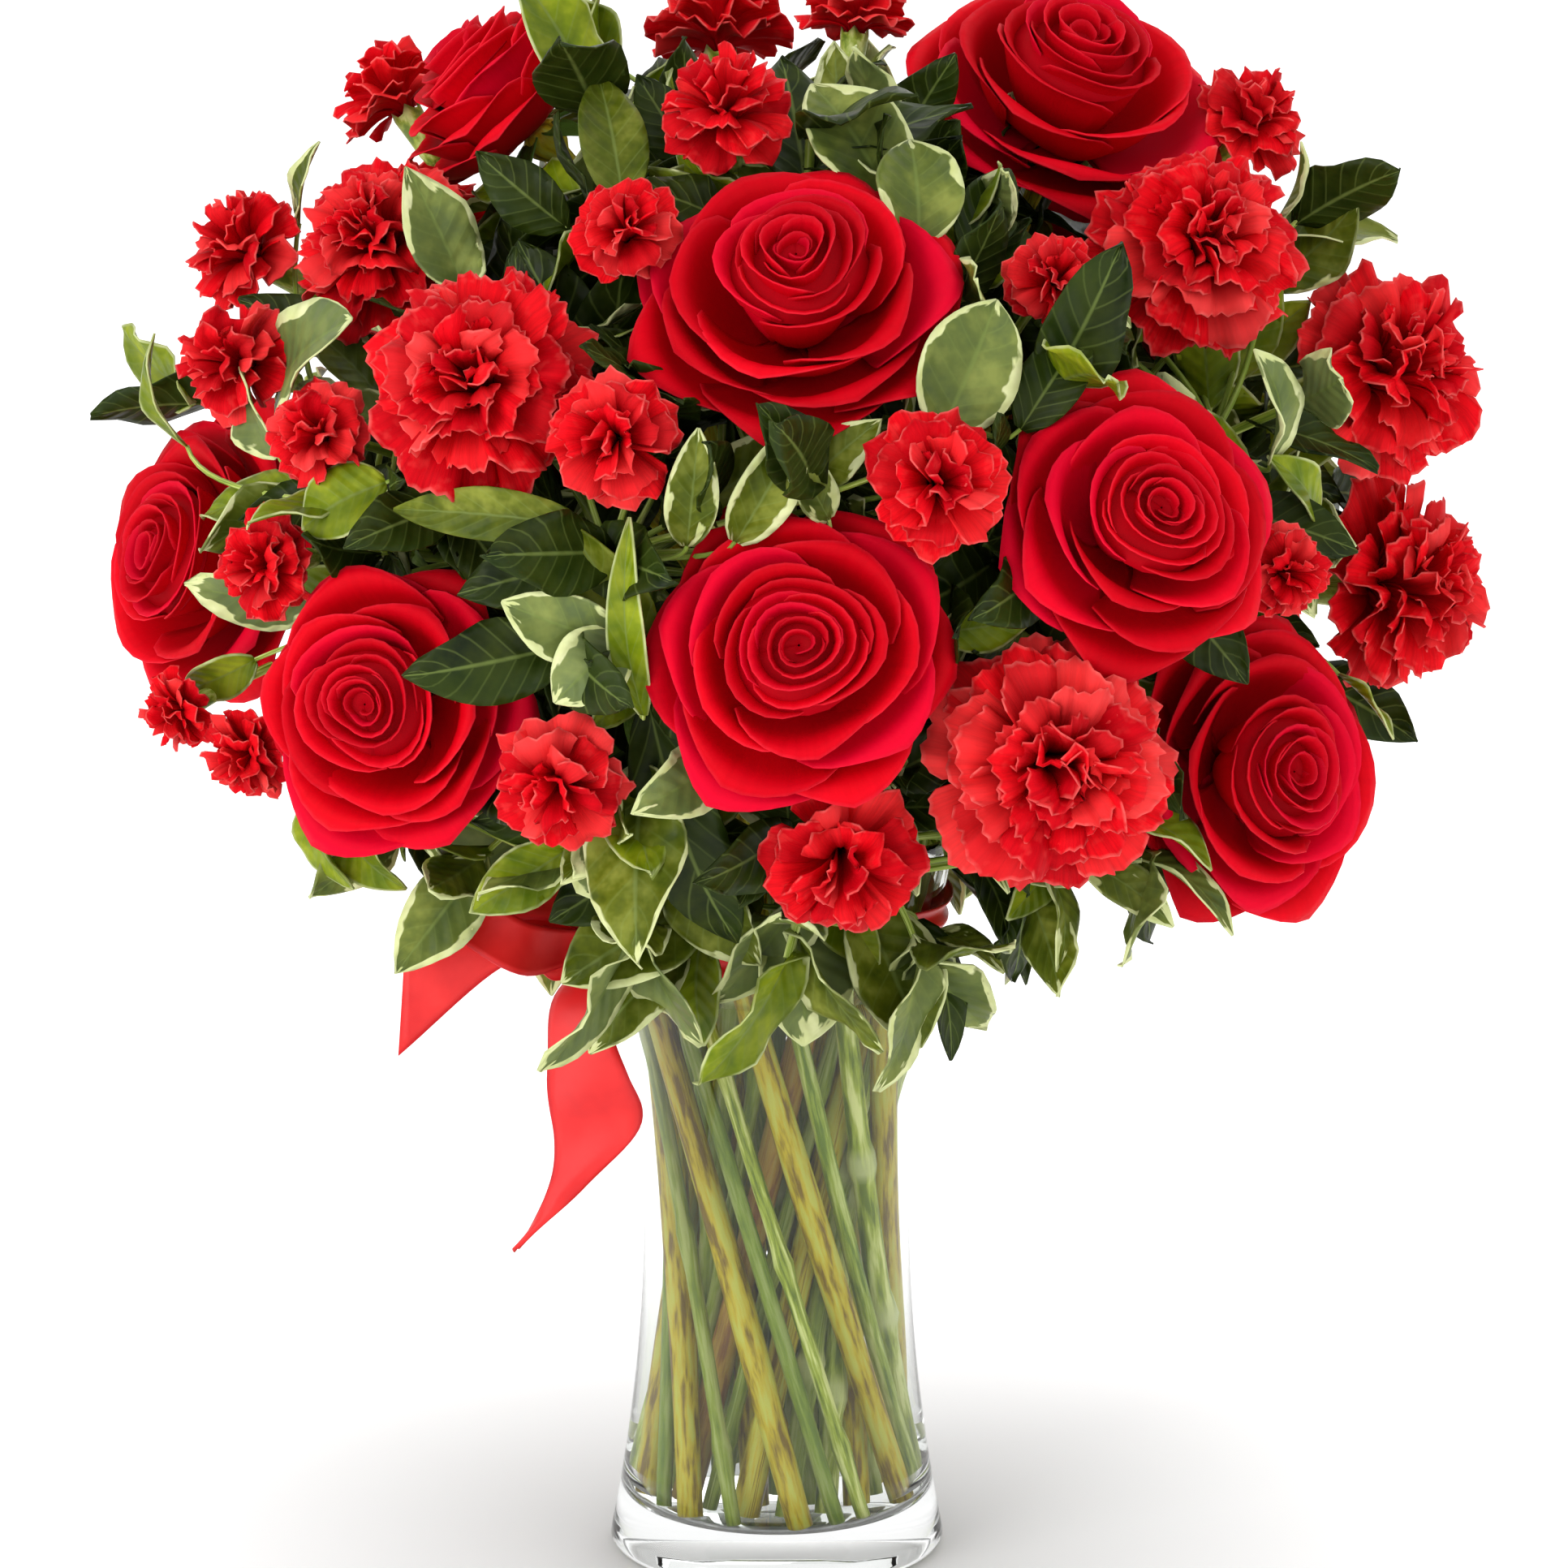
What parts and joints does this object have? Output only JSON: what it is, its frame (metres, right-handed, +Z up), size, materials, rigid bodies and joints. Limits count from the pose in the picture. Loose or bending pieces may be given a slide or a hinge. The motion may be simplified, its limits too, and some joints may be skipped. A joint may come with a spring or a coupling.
{
  "type": "roses and carnations in a vase",
  "caption": "Round bouquet of red roses, carnations and small spray carnations with variegated leaves, standing in water in a clear hourglass glass vase tied with a red ribbon bow.",
  "frame": {"origin": "centre of the vase's underside, on the surface it stands on", "axes": "+Z up; the bouquet's front, with the bow at its left, faces -Y; +X is to the right seen from the front"},
  "size_m": [0.3792, 0.3106, 0.4354],
  "materials": {
    "clear_glass": "gloss",
    "water": "gloss",
    "rose_petal": "matte",
    "carnation_petal": "matte",
    "rose_stem": "satin",
    "carnation_stem": "satin",
    "spray_carnation": "matte",
    "variegated_leaf": "satin",
    "red_satin": "satin"
  },
  "bodies": {
    "root": {"vase": "clear_glass", "water": "water", "ribbon": "red_satin", "rose_01_bloom": "rose_petal", "rose_01_stem": "rose_stem", "rose_02_bloom": "rose_petal", "rose_02_stem": "rose_stem", "rose_03_bloom": "rose_petal", "rose_03_stem": "rose_stem", "rose_04_bloom": "rose_petal", "rose_04_stem": "rose_stem", "rose_05_bloom": "rose_petal", "rose_05_stem": "rose_stem", "rose_06_bloom": "rose_petal", "rose_06_stem": "rose_stem", "rose_07_bloom": "rose_petal", "rose_07_stem": "rose_stem", "rose_08_bloom": "rose_petal", "rose_08_stem": "rose_stem", "rose_09_bloom": "rose_petal", "rose_09_stem": "rose_stem", "rose_10_bloom": "rose_petal", "rose_10_stem": "rose_stem", "rose_11_bloom": "rose_petal", "rose_11_stem": "rose_stem", "rose_12_bloom": "rose_petal", "rose_12_stem": "rose_stem", "carnation_01_bloom": "carnation_petal", "carnation_01_stem": "carnation_stem", "carnation_02_bloom": "carnation_petal", "carnation_02_stem": "carnation_stem", "carnation_03_bloom": "carnation_petal", "carnation_03_stem": "carnation_stem", "carnation_04_bloom": "carnation_petal", "carnation_04_stem": "carnation_stem", "carnation_05_bloom": "carnation_petal", "carnation_05_stem": "carnation_stem", "carnation_06_bloom": "carnation_petal", "carnation_06_stem": "carnation_stem", "carnation_07_bloom": "carnation_petal", "carnation_07_stem": "carnation_stem", "carnation_08_bloom": "carnation_petal", "carnation_08_stem": "carnation_stem", "carnation_09_bloom": "carnation_petal", "carnation_09_stem": "carnation_stem", "spray_carnation_1": "spray_carnation", "spray_carnation_2": "spray_carnation", "spray_carnation_3": "spray_carnation", "spray_carnation_4": "spray_carnation", "spray_carnation_5": "spray_carnation", "spray_carnation_6": "spray_carnation", "spray_carnation_7": "spray_carnation", "pittosporum_1": "variegated_leaf", "pittosporum_2": "variegated_leaf", "pittosporum_3": "variegated_leaf", "pittosporum_4": "variegated_leaf", "pittosporum_5": "variegated_leaf", "pittosporum_6": "variegated_leaf", "pittosporum_7": "variegated_leaf", "pittosporum_8": "variegated_leaf"}
  },
  "joints": []
}
